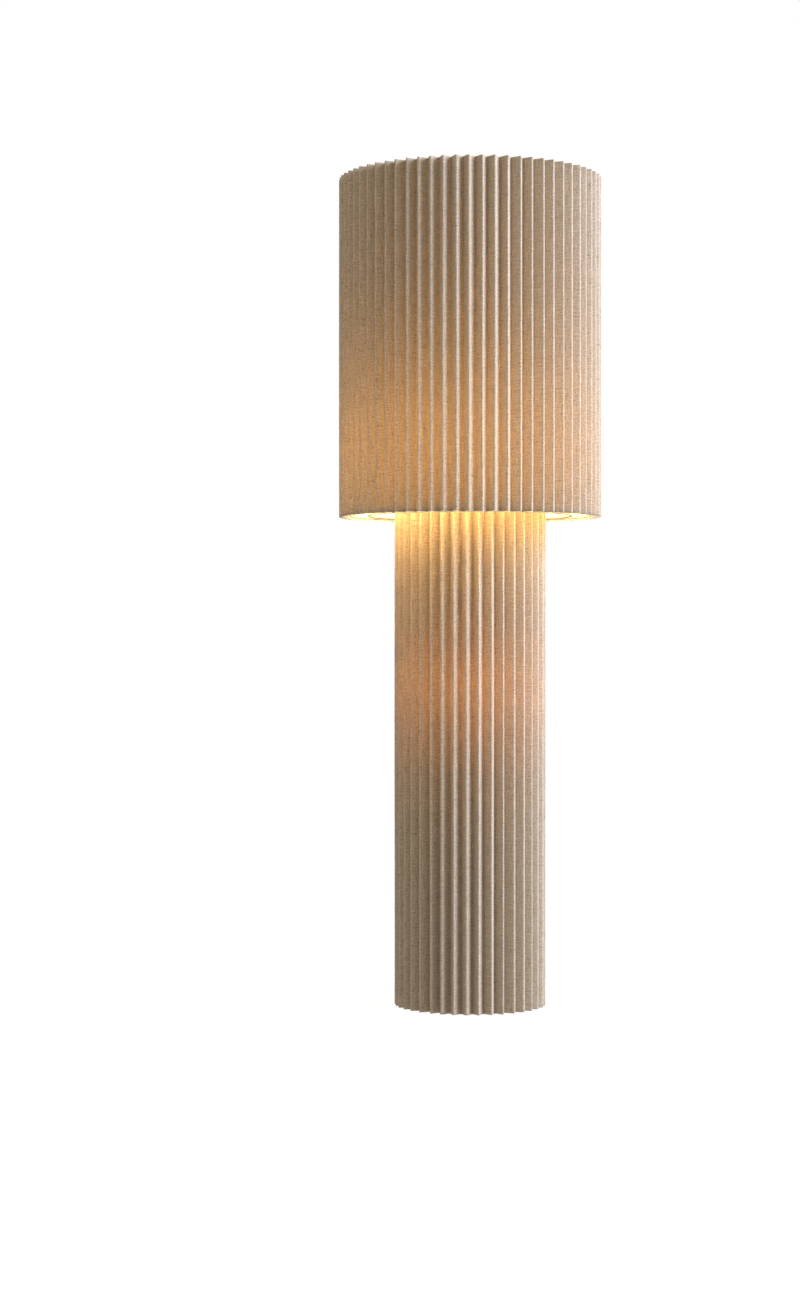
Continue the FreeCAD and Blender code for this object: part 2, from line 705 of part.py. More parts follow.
def draw_glass(sketch, neck_radius):
    """A ball on a cone on a straight neck, drawn as an outer and an inner wall."""
    middle = size["bulb_length"] - size["bulb_diameter"] / 2
    neck_top = size["bulb_neck_top"]
    neck_foot = neck_top - size["bulb_neck_sink"]
    walls = []
    for inset in (Size("0", 0.0), size["glass_thickness"]):
        ball = size["bulb_diameter"] / 2 - inset
        neck = neck_radius - inset
        walls.append(draw_wall(sketch, neck, neck_foot, neck_top, ball, middle))
    (outer_neck, outer_ball), (inner_neck, inner_ball) = walls
    foot = sketch.addGeometry(Part.LineSegment(Vector(2, 0, 0), Vector(1, 0, 0)))
    sketch.addConstraint(Sketcher.Constraint("Coincident", foot, 1, outer_neck, 1))
    sketch.addConstraint(Sketcher.Constraint("Coincident", foot, 2, inner_neck, 1))
    crown = sketch.addGeometry(Part.LineSegment(Vector(0, 2, 0), Vector(0, 1, 0)))
    sketch.addConstraint(Sketcher.Constraint("Coincident", crown, 1, outer_ball, 2))
    sketch.addConstraint(Sketcher.Constraint("Coincident", crown, 2, inner_ball, 2))


def draw_wall(sketch, neck, neck_foot, neck_top, ball, middle):
    """One wall of the glass: neck line, cone tangent to the ball, and the ball up to the axis."""
    reach = math.hypot(number(neck), number(middle) - number(neck_top))
    lean = math.atan2(number(neck), number(neck_top) - number(middle))
    touch = lean - math.acos(number(ball) / reach)
    touch_point = Vector(number(ball) * math.sin(touch), number(middle) + number(ball) * math.cos(touch), 0)
    neck_end = Vector(number(neck), number(neck_top), 0)
    straight = sketch.addGeometry(Part.LineSegment(Vector(number(neck), number(neck_foot), 0), neck_end))
    cone = sketch.addGeometry(Part.LineSegment(neck_end, touch_point))
    circle = Part.Circle(Vector(0, number(middle), 0), UP, number(ball))
    start_angle = math.pi / 2 - touch
    arc = sketch.addGeometry(Part.ArcOfCircle(circle, start_angle, math.pi / 2))
    hold_point(sketch, straight, 1, neck, neck_foot)
    hold_point(sketch, straight, 2, neck, neck_top)
    sketch.addConstraint(Sketcher.Constraint("Coincident", cone, 1, straight, 2))
    sketch.addConstraint(Sketcher.Constraint("Tangent", cone, 2, arc, 1))
    hold_point(sketch, arc, 3, 0, middle)
    index = sketch.addConstraint(Sketcher.Constraint("Radius", arc, number(ball)))
    sketch.setExpression("Constraints[%d]" % index, ball.text)
    sketch.addConstraint(Sketcher.Constraint("PointOnObject", arc, 2, -2))
    return straight, arc


def make_lower_lamp():
    nipple_foot = shelf_bottom - size["nipple_tail"]
    length = size["nipple_tail"] + size["shelf_thickness"] + size["nipple_reach"]
    rod = cylinder("nipple_rod", size["nipple_diameter"] / 2, length, 0, 0, nipple_foot)
    bore = cylinder("nipple_way", size["nipple_bore"] / 2, length, 0, 0, nipple_foot)
    node(cut("nipple_cut", rod, [bore]), "lower_nipple")
    blank = doc.addObject("Part::Prism", "nut_blank")
    blank.Polygon = 6
    bind(blank, "Circumradius", size["nut_across_flats"] / math.sqrt(3))
    bind(blank, "Height", size["nut_height"])
    place(blank, 0, 0, shelf_bottom - size["nut_height"])
    hole = cylinder("nut_hole", size["nipple_diameter"] / 2 + size["fit_gap"] / 2, size["nut_height"], 0, 0,
                    shelf_bottom - size["nut_height"])
    node(cut("nut_cut", blank, [hole]), "nipple_nut")
    make_bulb("lower", make_holder("lower", shelf_top))


def clamp_ring(name, z):
    body = doc.addObject("PartDesign::Body", name + "_body")
    sketch = new_sketch(body, name + "_section", "XZ_Plane")
    bore = holder_radius + size["fit_gap"]
    rim = size["ring_diameter"] / 2
    outline(sketch, [(bore, 0), (rim, 0), (rim, size["ring_height"]), (bore, size["ring_height"])])
    spin = body.newObject("PartDesign::Revolution", name + "_spin")
    spin.Profile = (sketch, [""])
    spin.ReferenceAxis = (sketch, ["V_Axis"])
    spin.Angle = 360
    grip = new_sketch(body, name + "_notch_outline", "XY_Plane")
    notch = grip.addGeometry(Part.Circle(Vector(number(size["ring_diameter"]) / 2, 0, 0), UP, 1))
    hold_point(grip, notch, 3, size["ring_diameter"] / 2, 0)
    index = grip.addConstraint(Sketcher.Constraint("Diameter", notch, number(size["ring_notch_diameter"])))
    grip.setExpression("Constraints[%d]" % index, size["ring_notch_diameter"].text)
    pocket = body.newObject("PartDesign::Pocket", name + "_notch")
    pocket.Profile = (grip, [""])
    pocket.Type = "ThroughAll"
    pocket.Midplane = True
    pattern = body.newObject("PartDesign::PolarPattern", name + "_notches")
    pattern.Originals = [pocket]
    pattern.Axis = (origin(body, "Z_Axis"), [""])
    pattern.Angle = 360
    bind(pattern, "Occurrences", size["ring_notches"])
    body.Tip = pattern
    node(place(body, 0, 0, z), name)


def make_upper_lamp():
    clamp_ring("clamp_ring_top", plate_top)
    clamp_ring("clamp_ring_bottom", plate_bottom - size["ring_height"])
    grip_bore = lead_radius + size["fit_gap"]
    grip = turned(
        "cord_grip_body",
        [
            (grip_bore, -size["grip_flange_height"]),
            (size["grip_flange_diameter"] / 2, -size["grip_flange_height"]),
            (size["grip_flange_diameter"] / 2, 0),
            (size["nipple_diameter"] / 2, 0),
            (size["nipple_diameter"] / 2, size["nipple_reach"]),
            (grip_bore, size["nipple_reach"]),
        ],
    )
    node(place(grip, 0, 0, upper_foot), "upper_cord_grip")
    make_bulb("upper", make_holder("upper", upper_foot))


# Wiring inside the column

def lead_wire(points, bend):
    """Straight runs in the XZ plane, joined by tangent arcs of one radius."""
    edges = []
    start = points[0]
    for index in range(1, len(points) - 1):
        corner = points[index]
        before = (points[index - 1] - corner).normalize()
        after = (points[index + 1] - corner).normalize()
        half = before.getAngle(after) / 2
        setback = bend / math.tan(half)
        arc_start = corner + before * setback
        arc_end = corner + after * setback
        bisector = (before + after).normalize()
        arc_middle = corner + bisector * (bend / math.sin(half) - bend)
        edges.append(Part.LineSegment(start, arc_start).toShape())
        edges.append(Part.Arc(arc_start, arc_middle, arc_end).toShape())
        start = arc_end
    edges.append(Part.LineSegment(start, points[-1]).toShape())
    return Part.Wire(edges)


def make_wiring():
    block = box("block_body", size["block_length"], size["block_width"], size["block_height"],
                -(size["block_length"] / 2), -(size["block_width"] / 2), base_top)
    block_top = base_top + size["block_height"]
    wells = []
    for side_x in (-1, 1):
        for side_y in (-1, 1):
            wells.append(cylinder("block_screw_%d_%d" % (side_x, side_y), size["block_screw"] / 2,
                                  size["block_screw_depth"], size["block_length"] / 4 * side_x,
                                  size["block_width"] / 4 * side_y, block_top - size["block_screw_depth"]))
    node(cut("terminal_block_cut", block, wells), "terminal_block")

    lower_lead = cylinder("lower_lead_run", lead_radius, shelf_bottom - size["nipple_tail"] - block_top
                          + size["nipple_reach"], 0, 0, block_top)
    node(lower_lead, "lower_lead")

    lead_height = number(base_top + size["block_height"] / 2)
    beside = number(lead_circle)
    route = [
        Vector(number(size["block_length"]) / 2, 0, lead_height),
        Vector(beside, 0, lead_height),
        Vector(beside, 0, number(lead_turn_in)),
        Vector(0, 0, number(lead_turn_up)),
        Vector(0, 0, number(upper_foot + size["nipple_reach"])),
    ]
    path = lead_wire(route, number(size["lead_bend"]))
    section = Part.Wire([Part.Circle(route[0], RIGHT, number(lead_radius)).toShape()])
    upper_lead = doc.addObject("Part::Feature", "upper_lead_run")
    upper_lead.Shape = path.makePipeShell([section], True, False)
    node(upper_lead, "upper_lead")

    groove = size["grommet_groove"] / 2 - size["fit_gap"] / 2
    lip_top = size["grommet_height"] / 2
    half_shelf = size["shelf_thickness"] / 2
    grommet_bore = lead_radius + size["fit_gap"]
    grommet = turned(
        "grommet_body",
        [
            (grommet_bore, -lip_top),
            (size["grommet_diameter"] / 2, -lip_top),
            (size["grommet_diameter"] / 2, -half_shelf),
            (groove, -half_shelf),
            (groove, half_shelf),
            (size["grommet_diameter"] / 2, half_shelf),
            (size["grommet_diameter"] / 2, lip_top),
            (grommet_bore, lip_top),
        ],
    )
    node(place(grommet, lead_circle, 0, shelf_bottom + half_shelf), "shelf_grommet")

    clips = []
    inner_end = lead_circle - lead_radius - size["clip_wall"]
    outer_end = post_circle + post_radius + size["clip_wall"]
    bar_width = size["clip_width"] + size["clip_wall"]
    upper_clip = lead_turn_in - size["upper_clip_drop"]
    for name, height in (("lower_clip", size["lower_clip"]), ("upper_clip", upper_clip)):
        bar = box(name + "_bar", outer_end - inner_end, bar_width, size["clip_height"],
                  inner_end, -(bar_width / 2), height)
        post_hole = cylinder(name + "_post_hole", post_radius + size["fit_gap"] / 2, size["clip_height"],
                             post_circle, 0, height)
        lead_hole = cylinder(name + "_lead_hole", lead_radius + size["fit_gap"] / 2, size["clip_height"],
                             lead_circle, 0, height)
        clips.append(cut(name + "_cut", bar, [post_hole, lead_hole]))
    node(group("lead_clip_group", clips), "lead_clips")


# Sleeve that covers the column

def make_sleeve():
    bottom = size["sleeve_hem_gap"]
    turn = size["sleeve_turn"]
    per_panel = size["sleeve_panel_pleats"]
    front = pleated_panel("sleeve_front", sleeve_cloth, per_panel, turn, FRONT_HALF, bottom, sleeve_top)
    node(front, "sleeve_panel_front")
    rear = pleated_panel("sleeve_rear", sleeve_cloth, per_panel, turn, REAR_HALF, bottom, sleeve_top)
    slot_top = gland_height + size["gland_flange_diameter"] / 2 + size["notch_rise"]
    slot = box("cord_slot", size["notch_width"], size["pleat_depth"] * 2, slot_top,
               -(size["notch_width"] / 2), sleeve_radius - size["pleat_depth"] * 3 / 2, 0)
    node(cut("sleeve_rear_cut", rear, [slot]), "sleeve_panel_rear")
    wire = size["hoop_wire"]
    seat = ledge_top + size["seat_gap"] + wire / 2
    node(torus("sleeve_low_hoop", sleeve_cloth.hoop_radius, wire, seat), "sleeve_bottom_hoop")
    high = sleeve_top - size["hem_to_hoop"] - wire / 2
    node(torus("sleeve_high_hoop", sleeve_cloth.hoop_radius, wire, high), "sleeve_top_hoop")


# Shade with its wire frame

def make_shade():
    turn = size["shade_turn"]
    per_panel = size["shade_panel_pleats"]
    top = size["total_height"]
    for label, facing in (("shade_panel_front", FRONT_HALF), ("shade_panel_rear", REAR_HALF)):
        panel = pleated_panel(label + "_cloth", shade_cloth, per_panel, turn, facing, shade_bottom, top)
        node(panel, label)
    hoop_wire = size["hoop_wire"]
    wire = size["shade_wire"]
    edge = size["hem_to_hoop"]
    high = top - edge - hoop_wire / 2
    node(torus("shade_high_hoop", shade_cloth.hoop_radius, hoop_wire, high), "shade_top_hoop")
    frame_height = shade_bottom + edge + wire / 2
    low_hoop = torus("shade_low_hoop", shade_cloth.hoop_radius, hoop_wire, frame_height)
    node(low_hoop, "shade_bottom_hoop")
    ring = torus("shade_mouth_ring", inner_ring_radius, wire, frame_height)
    node(ring, "shade_inner_ring")

    node(cut("spokes_cut", spoke_pattern(frame_height), [low_hoop, ring]), "shade_spokes")

    middle = post_circle
    half = size["carrier_width"] / 2
    disc = cylinder("carrier_disc", middle + half, size["carrier_thickness"], 0, 0, carrier_bottom)
    holes = [cylinder("carrier_bore", middle - half, size["carrier_thickness"], 0, 0, carrier_bottom)]
    for name, x, y in post_places:
        holes.append(cylinder(name + "_pin_hole", size["cap_pin_diameter"] / 2 + size["seat_gap"],
                              size["carrier_thickness"], x, y, carrier_bottom))
    carrier = node(cut("carrier_cut", disc, holes), "shade_carrier")
    node(cut("arms_cut", arm_pattern(frame_height), [carrier, ring]), "shade_arms")


def three_round(body, feature, turn):
    """Repeats a feature three times round the axis, the first at the given angle from +X."""
    pattern = body.newObject("PartDesign::PolarPattern", feature.Name + "_pattern")
    pattern.Originals = [feature]
    pattern.Axis = (origin(body, "Z_Axis"), [""])
    pattern.Angle = 360
    pattern.Occurrences = 3
    body.Tip = pattern
    body.Placement = FreeCAD.Placement(Vector(0, 0, 0), FreeCAD.Rotation(UP, 1))
    bind(body, "Placement.Rotation.Angle", turn)
    return body


def wire_section(body, name, diameter, start, height):
    """The round section of a wire that sets off outwards from the axis."""
    section = new_sketch(body, name, "YZ_Plane")
    bind(section, "AttachmentOffset.Base.y", height)
    bind(section, "AttachmentOffset.Base.z", start)
    circle = section.addGeometry(Part.Circle(Vector(0, 0, 0), UP, number(diameter) / 2))
    section.addConstraint(Sketcher.Constraint("Coincident", circle, 3, -1, 1))
    index = section.addConstraint(Sketcher.Constraint("Diameter", circle, number(diameter)))
    section.setExpression("Constraints[%d]" % index, diameter.text)
    return section


def spoke_pattern(frame_height):
    """Three straight wires from the inner ring to the bottom hoop, midway between the arms."""
    body = doc.addObject("PartDesign::Body", "shade_spoke_body")
    start = inner_ring_radius
    section = wire_section(body, "spoke_section", size["hoop_wire"], start, frame_height)
    pad = body.newObject("PartDesign::Pad", "spoke")
    pad.Profile = (section, [""])
    bind(pad, "Length", shade_cloth.hoop_radius - start)
    midway = 60
    return three_round(body, pad, size["arm_turn"] + midway)


def arm_pattern(frame_height):
    """Three bent wires from the carrier ring out and down to the inner ring."""
    wire = size["shade_wire"]
    arm_height = carrier_top + wire / 2 - size["arm_sink"]
    start = post_circle
    finish = inner_ring_radius
    bend = size["arm_bend"]
    body = doc.addObject("PartDesign::Body", "shade_arm_body")
    path = new_sketch(body, "arm_path", "XZ_Plane")
    level = path.addGeometry(Part.LineSegment(Vector(number(start), number(arm_height), 0),
                                              Vector(number(finish - bend), number(arm_height), 0)))
    middle = Vector(number(finish - bend), number(arm_height - bend), 0)
    corner = path.addGeometry(Part.ArcOfCircle(Part.Circle(middle, UP, number(bend)), 0, math.pi / 2))
    drop = path.addGeometry(Part.LineSegment(Vector(number(finish), number(arm_height - bend), 0),
                                             Vector(number(finish), number(frame_height), 0)))
    path.addConstraint(Sketcher.Constraint("Tangent", level, 2, corner, 2))
    path.addConstraint(Sketcher.Constraint("Tangent", drop, 1, corner, 1))
    path.addConstraint(Sketcher.Constraint("Horizontal", level))
    path.addConstraint(Sketcher.Constraint("Vertical", drop))
    hold_point(path, level, 1, start, arm_height)
    hold_point(path, drop, 2, finish, frame_height)
    index = path.addConstraint(Sketcher.Constraint("Radius", corner, number(bend)))
    path.setExpression("Constraints[%d]" % index, bend.text)
    section = wire_section(body, "arm_section", wire, start, arm_height)
    doc.recompute()
    pipe = body.newObject("PartDesign::AdditivePipe", "arm")
    pipe.Profile = (section, [""])
    pipe.Spine = (path, ["Edge1", "Edge2", "Edge3"])
    return three_round(body, pipe, size["arm_turn"])


make_base()
make_posts()
make_plates()
make_lower_lamp()
make_upper_lamp()
make_wiring()
make_sleeve()
make_shade()
doc.recompute()

# Nothing is written unless every object and every sub-part is sound
for obj in doc.Objects:
    if "Invalid" in obj.State or "Error" in obj.State:
        raise RuntimeError("%s did not rebuild: %s" % (obj.Label, obj.State))
for label, obj in nodes.items():
    shape = obj.Shape
    if shape.isNull() or not shape.isValid() or not shape.Solids:
        raise RuntimeError("%s is not a valid solid" % label)

os.makedirs("parts", exist_ok=True)
for label, obj in nodes.items():
    obj.Shape.exportStep(os.path.join("parts", label + ".step"))
    print("%-22s %d solids, %.1f cm3" % (label, len(obj.Shape.Solids), obj.Shape.Volume / 1000))
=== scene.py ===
# %% [markdown]
# # A pleated linen floor lamp
# The lamp is two pleated linen cylinders: a wide drum shade over a narrower column. Both are lit from
# inside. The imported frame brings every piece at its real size. This lesson adds what the eye sees: the
# folded cloth and its weave, the finishes of the pieces inside, and the light.

# %% Load the frame
import json
import math

import bmesh
import bpy
import numpy as np
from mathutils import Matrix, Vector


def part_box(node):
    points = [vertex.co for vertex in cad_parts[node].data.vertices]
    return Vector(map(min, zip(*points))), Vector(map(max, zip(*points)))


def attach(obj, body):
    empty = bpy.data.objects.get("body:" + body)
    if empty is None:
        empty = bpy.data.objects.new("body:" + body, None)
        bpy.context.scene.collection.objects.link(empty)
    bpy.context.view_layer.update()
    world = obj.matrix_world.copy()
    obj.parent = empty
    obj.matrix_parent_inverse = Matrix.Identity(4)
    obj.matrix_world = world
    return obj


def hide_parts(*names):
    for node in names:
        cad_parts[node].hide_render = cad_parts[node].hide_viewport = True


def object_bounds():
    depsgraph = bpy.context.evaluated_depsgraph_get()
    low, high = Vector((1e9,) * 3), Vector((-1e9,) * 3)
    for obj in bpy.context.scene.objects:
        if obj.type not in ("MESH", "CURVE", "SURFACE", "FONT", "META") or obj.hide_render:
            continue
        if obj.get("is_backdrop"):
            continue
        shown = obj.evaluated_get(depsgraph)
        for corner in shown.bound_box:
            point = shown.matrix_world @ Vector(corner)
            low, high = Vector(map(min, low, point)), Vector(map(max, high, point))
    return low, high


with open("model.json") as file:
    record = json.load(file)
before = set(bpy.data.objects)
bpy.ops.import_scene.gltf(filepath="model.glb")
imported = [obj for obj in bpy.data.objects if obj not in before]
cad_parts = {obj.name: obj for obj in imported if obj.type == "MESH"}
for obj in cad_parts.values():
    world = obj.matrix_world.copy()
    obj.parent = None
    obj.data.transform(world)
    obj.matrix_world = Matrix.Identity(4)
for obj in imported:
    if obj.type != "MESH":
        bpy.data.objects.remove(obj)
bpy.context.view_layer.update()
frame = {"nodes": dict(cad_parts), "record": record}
nodes = frame["nodes"]
MM = 0.001

# %% [markdown]
# ## Camera
# The picture was taken from a little under half the lamp's height, with a long lens. The four visible
# rims curve by different amounts, and that gives the distance and the height of the lens. The lamp stands
# right of the middle, so the camera is turned a little to the left. A lens shift would do it too, but it
# would stay on in every other view.

# %% Camera
PHOTO_WIDTH = 800
PHOTO_HEIGHT = 1309
FOCAL_PIXELS = 2419.0
CAMERA_DISTANCE = 3.682
CAMERA_HEIGHT = 0.561
LAMP_AXIS_PIXEL = 470.0
HORIZON_PIXEL = 636.4
SENSOR = 36.0

camera_data = bpy.data.cameras.new("camera")
camera_data.sensor_width = SENSOR
camera_data.lens = FOCAL_PIXELS * SENSOR / PHOTO_HEIGHT
camera = bpy.data.objects.new("camera", camera_data)
bpy.context.scene.collection.objects.link(camera)
camera.location = (0, -CAMERA_DISTANCE, CAMERA_HEIGHT)
turn_left = math.atan((LAMP_AXIS_PIXEL - PHOTO_WIDTH / 2) / FOCAL_PIXELS)
look_down = math.atan((PHOTO_HEIGHT / 2 - HORIZON_PIXEL) / FOCAL_PIXELS)
camera.rotation_euler = (math.pi / 2 - look_down, 0, turn_left)
bpy.context.scene.camera = camera
print("camera: lens %.1f mm" % camera_data.lens)

# %% [markdown]
# ## Colours and nodes
# Colours are written as they look on a screen and turned to linear light once. One small function adds a
# node with its settings and its inputs. An input is a plain value, or the output of another node. A colour
# ramp also takes its stops. In a Mix node for colours, inputs 6 and 7 are the two colours and output 2 is
# the result. In one for numbers, inputs 2 and 3 are mixed and output 0 is the result.

# %% Helpers for materials

def linear(hex_colour):
    """Turns a screen colour such as "C8B69B" into the linear light that shaders use."""
    channels = [int(hex_colour[i:i + 2], 16) / 255 for i in (0, 2, 4)]
    light = [c / 12.92 if c <= 0.04045 else ((c + 0.055) / 1.055) ** 2.4 for c in channels]
    return (*light, 1.0)


def add_node(tree, kind, inputs=None, stops=(), **settings):
    """Adds a node and gives it its settings, its inputs and the stops of its ramp."""
    made = tree.nodes.new("ShaderNode" + kind)
    for name, value in settings.items():
        setattr(made, name, value)
    for socket, value in (inputs or {}).items():
        if isinstance(value, bpy.types.NodeSocket):
            tree.links.new(value, made.inputs[socket])
        else:
            made.inputs[socket].default_value = value
    for number, (place, colour) in enumerate(stops):
        band = made.color_ramp.elements
        stop = band[number] if number < 2 else band.new(place)
        stop.position = place
        stop.color = colour
    return made


def new_material(name):
    """An empty material with its node tree and its output."""
    material = bpy.data.materials.new(name)
    material.use_nodes = True
    material.node_tree.nodes.clear()
    output = add_node(material.node_tree, "OutputMaterial")
    return material, material.node_tree, output


print("mid grey is %.3f in linear light" % linear("808080")[0])

# %% [markdown]
# ## One pleat
# Stiffened linen is pressed into sharp zigzag pleats, yet a fold is never a knife edge: the cloth turns
# round a small radius. A section from one ridge to the next valley is an arc, a straight face and a
# tighter arc. The angle of the face is found by halving, because the arcs use up part of the width.

# %% Section of half a pleat
FOLD_STEPS = 4
FACE_STEPS = 3
STEEPEST = math.radians(89)
HALVINGS = 60


def half_pleat(width, depth, ridge_fold, valley_fold):
    """Points from a ridge to a valley, as shares of the width and of the depth."""
    both = ridge_fold + valley_fold
    low, high = 0.0, STEEPEST
    for _ in range(HALVINGS):
        slope = (low + high) / 2
        reach = both * (1 - math.cos(slope)) + (width - both * math.sin(slope)) * math.tan(slope)
        low, high = (slope, high) if reach < depth else (low, slope)
    arc = [slope * step / FOLD_STEPS for step in range(FOLD_STEPS + 1)]
    ridge = [(ridge_fold * math.sin(a), ridge_fold * (1 - math.cos(a))) for a in arc]
    valley = [(width - valley_fold * math.sin(a), depth - valley_fold * (1 - math.cos(a)))
              for a in reversed(arc)]
    face = np.linspace(ridge[-1], valley[0], FACE_STEPS + 1)[1:-1].tolist()
    return np.array(ridge + face + valley) / (width, depth)


print("points on half a pleat:", len(half_pleat(9, 15, 1.5, 0.6)))

# %% [markdown]
# ## Hems
# The long edges of the strip are turned over to the inside and glued, so the rims are two layers thick and
# pass less light. The strip is drawn as one layer, ring by ring: from the inner end of the top hem, over
# the top edge, down the outside, round the bottom edge and up to the inner end of the bottom hem.

# %% Rings with hems
HEM = 5 * MM
HEM_GAP = 0.8 * MM
EDGE_TURN = 0.5 * MM


def hem_rings(bottom, top, count):
    """Heights of the rings and how far each lies inside the outer layer, as a share of the hem's gap."""
    turn = [
        (EDGE_TURN, 1.0), (0.2 * EDGE_TURN, 0.8), (0.0, 0.5), (0.2 * EDGE_TURN, 0.2), (EDGE_TURN, 0.0)]
    rings = [(top - HEM, 1.0), (top - HEM / 2, 1.0)]
    rings += [(top - drop, inset) for drop, inset in turn]
    rings += [(height, 0.0) for height in np.linspace(top - HEM / 2, bottom + HEM / 2, count)]
    rings += [(bottom + rise, inset) for rise, inset in reversed(turn)]
    rings += [(bottom + HEM / 2, 1.0), (bottom + HEM, 1.0)]
    return np.array(rings)


print("rings of a strip with ten between its hems:", len(hem_rings(0.0, 0.1, 10)))

# %% [markdown]
# ## Fold lines
# No two folds are alike. Each fold line gets its own place, depth and slow wave along its height, all a
# millimetre or less and from a fixed seed. Ridges only fall short of the full radius, so the cloth stays
# inside its solid, and the valleys stay just outside the wire hoops that they are glued to.

# %% Fold lines
DRIFT = 0.7 * MM
SWAY = (0.05 * MM, 0.22 * MM)
WAVES = (5.0, 13.0)
RIDGE_SHORT = (0.3 * MM, 1.3 * MM)
VALLEY_RISE = (0.1 * MM, 0.5 * MM)
RIPPLE = 0.08 * MM


def fold_lines(chance, folds, radius, depth, first, heights):
    """The angle and the radius of each fold line at each height. Even folds are ridges."""
    drift = chance.uniform(-DRIFT, DRIFT, folds)
    sway = chance.uniform(*SWAY, folds)
    wave = chance.uniform(*WAVES, folds)
    phase = chance.uniform(0, 2 * math.pi, folds)
    shift = drift + sway * np.sin(wave * heights + phase)
    angles = first + 2 * math.pi * np.arange(folds) / folds + shift / radius
    ridges = radius - chance.uniform(*RIDGE_SHORT, folds)
    valleys = radius - depth + chance.uniform(*VALLEY_RISE, folds)
    ripple = RIPPLE * np.sin(wave[::-1] * heights + phase[::-1])
    return angles, np.where(np.arange(folds) % 2 == 0, ridges, valleys) + ripple


print("fold lines stray by up to %.2f mm" % ((DRIFT + SWAY[1]) / MM))

# %% [markdown]
# ## The folded strip
# The section is laid between each pair of fold lines, at every ring. Ridges are rounder than valleys, and
# no two ridges are equally round. Where a ring belongs to a hem, its points move inwards, square to the
# cloth, by the gap between the two layers.

# %% Folded strip
RIDGE_FOLD = (1.4 * MM, 2.4 * MM)
VALLEY_FOLD = 0.6 * MM


def folded_strip(chance, folds, radius, depth, turn, rings):
    """Places of all points, ring by ring, and their depth in the pleat."""
    heights = rings[:, 0][:, None]
    angles, radii = fold_lines(chance, folds, radius, depth, math.radians(turn - 90), heights)
    width = 2 * math.pi * (radius - depth / 2) / folds
    around, outwards = [], []
    for fold in range(folds):
        section = half_pleat(width, depth, chance.uniform(*RIDGE_FOLD), VALLEY_FOLD)
        if fold % 2:
            section = 1 - section[::-1]
        after = (fold + 1) % folds
        full_turn = 2 * math.pi if after == 0 else 0.0
        step_around = (angles[:, after] + full_turn - angles[:, fold])[:, None]
        step_outwards = (radii[:, after] - radii[:, fold])[:, None]
        around.append(angles[:, fold][:, None] + step_around * section[:-1, 0])
        outwards.append(radii[:, fold][:, None] + step_outwards * section[:-1, 1])
    around, outwards = np.hstack(around), np.hstack(outwards)
    x, y = outwards * np.cos(around), outwards * np.sin(around)
    along_x = np.roll(x, -1, 1) - np.roll(x, 1, 1)
    along_y = np.roll(y, -1, 1) - np.roll(y, 1, 1)
    inset = rings[:, 1][:, None] * HEM_GAP / np.hypot(along_x, along_y)
    places = np.dstack([x - along_y * inset, y + along_x * inset, np.broadcast_to(heights, x.shape)])
    return places, np.clip((radius - outwards) / depth, 0, 1)


print("ridges turn round %.1f to %.1f mm" % (RIDGE_FOLD[0] / MM, RIDGE_FOLD[1] / MM))

# %% [markdown]
# The points become one mesh of four-sided faces, built in code: by hand, with extrude and rotate, 66
# uneven pleats would take hours. The mesh carries a flat map in metres, so the weave follows the cloth
# round every fold. It also carries two numbers at each point: how deep the point lies in its pleat, and how
# far it is turned into a hem.

# %% Cloth mesh

def pleated_cloth(name, radius, depth, pleats, turn, bottom, top, ring_count, seed):
    """One strip of linen, folded and closed into a ring, and the size of the flat strip."""
    chance = np.random.default_rng(seed)
    rings = hem_rings(bottom, top, ring_count)
    places, pleat_depth = folded_strip(chance, 2 * pleats, radius, depth, turn, rings)
    ring_total, count = pleat_depth.shape
    middle = places[ring_total // 2]
    steps = np.linalg.norm(np.roll(middle, -1, 0) - middle, axis=1)
    flat_x = np.concatenate([[0], np.cumsum(steps)])
    drops = np.hypot(np.diff(rings[:, 0]), np.diff(rings[:, 1]) * HEM_GAP)
    flat_y = np.concatenate([[0], np.cumsum(drops)])

    faces, flat_map = [], []
    for ring in range(ring_total - 1):
        for column in range(count):
            beside = (column + 1) % count
            upper, lower = ring * count, (ring + 1) * count
            faces.append((upper + column, lower + column, lower + beside, upper + beside))
            left, right = flat_x[column], flat_x[column + 1]
            high, low = -flat_y[ring], -flat_y[ring + 1]
            flat_map += [(left, high), (left, low), (right, low), (right, high)]
    mesh = bpy.data.meshes.new(name)
    mesh.from_pydata(places.reshape(-1, 3).tolist(), [], faces)
    flat_layer = mesh.uv_layers.new(name="flat_cloth")
    flat_layer.data.foreach_set("uv", np.array(flat_map, np.float32).ravel())
    depth_values = mesh.attributes.new("pleat_depth", "FLOAT", "POINT")
    depth_values.data.foreach_set("value", pleat_depth.astype(np.float32).ravel())
    hem_values = mesh.attributes.new("hem", "FLOAT", "POINT")
    hem_values.data.foreach_set("value", np.repeat(rings[:, 1], count).astype(np.float32))
    mesh.shade_smooth()
    piece = bpy.data.objects.new(name, mesh)
    bpy.context.scene.collection.objects.link(piece)
    return piece, (float(flat_x[-1]), float(flat_y[-1]))


# %% [markdown]
# ## Linen: the yarn
# Undyed linen is a plain weave of flax yarn. The yarn swells into slubs and holds darker specks of the
# stalk, and that unevenness is what the eye takes for linen. The threads are 0.8 mm apart, finer than a
# pixel here. So they only make the bump, and the slubs and flecks are drawn about twice as coarse as real
# ones to show. Everything is placed on the flat map, in millimetres of cloth. A wave texture of scale 1
# runs through 20 radians in one unit, so the scale of the threads is worked out from that.

# %% Linen yarn
THREAD_MM = 0.8
SLUB_LONG_MM = 24.0
SLUB_THIN_MM = 1.7
FLECK_MM = 2.8
FLECK_SHARE = 0.4
WAVE_RADIANS = 20
RELIEF_STRENGTH = 0.35
RELIEF_HEIGHT = 0.3 * MM

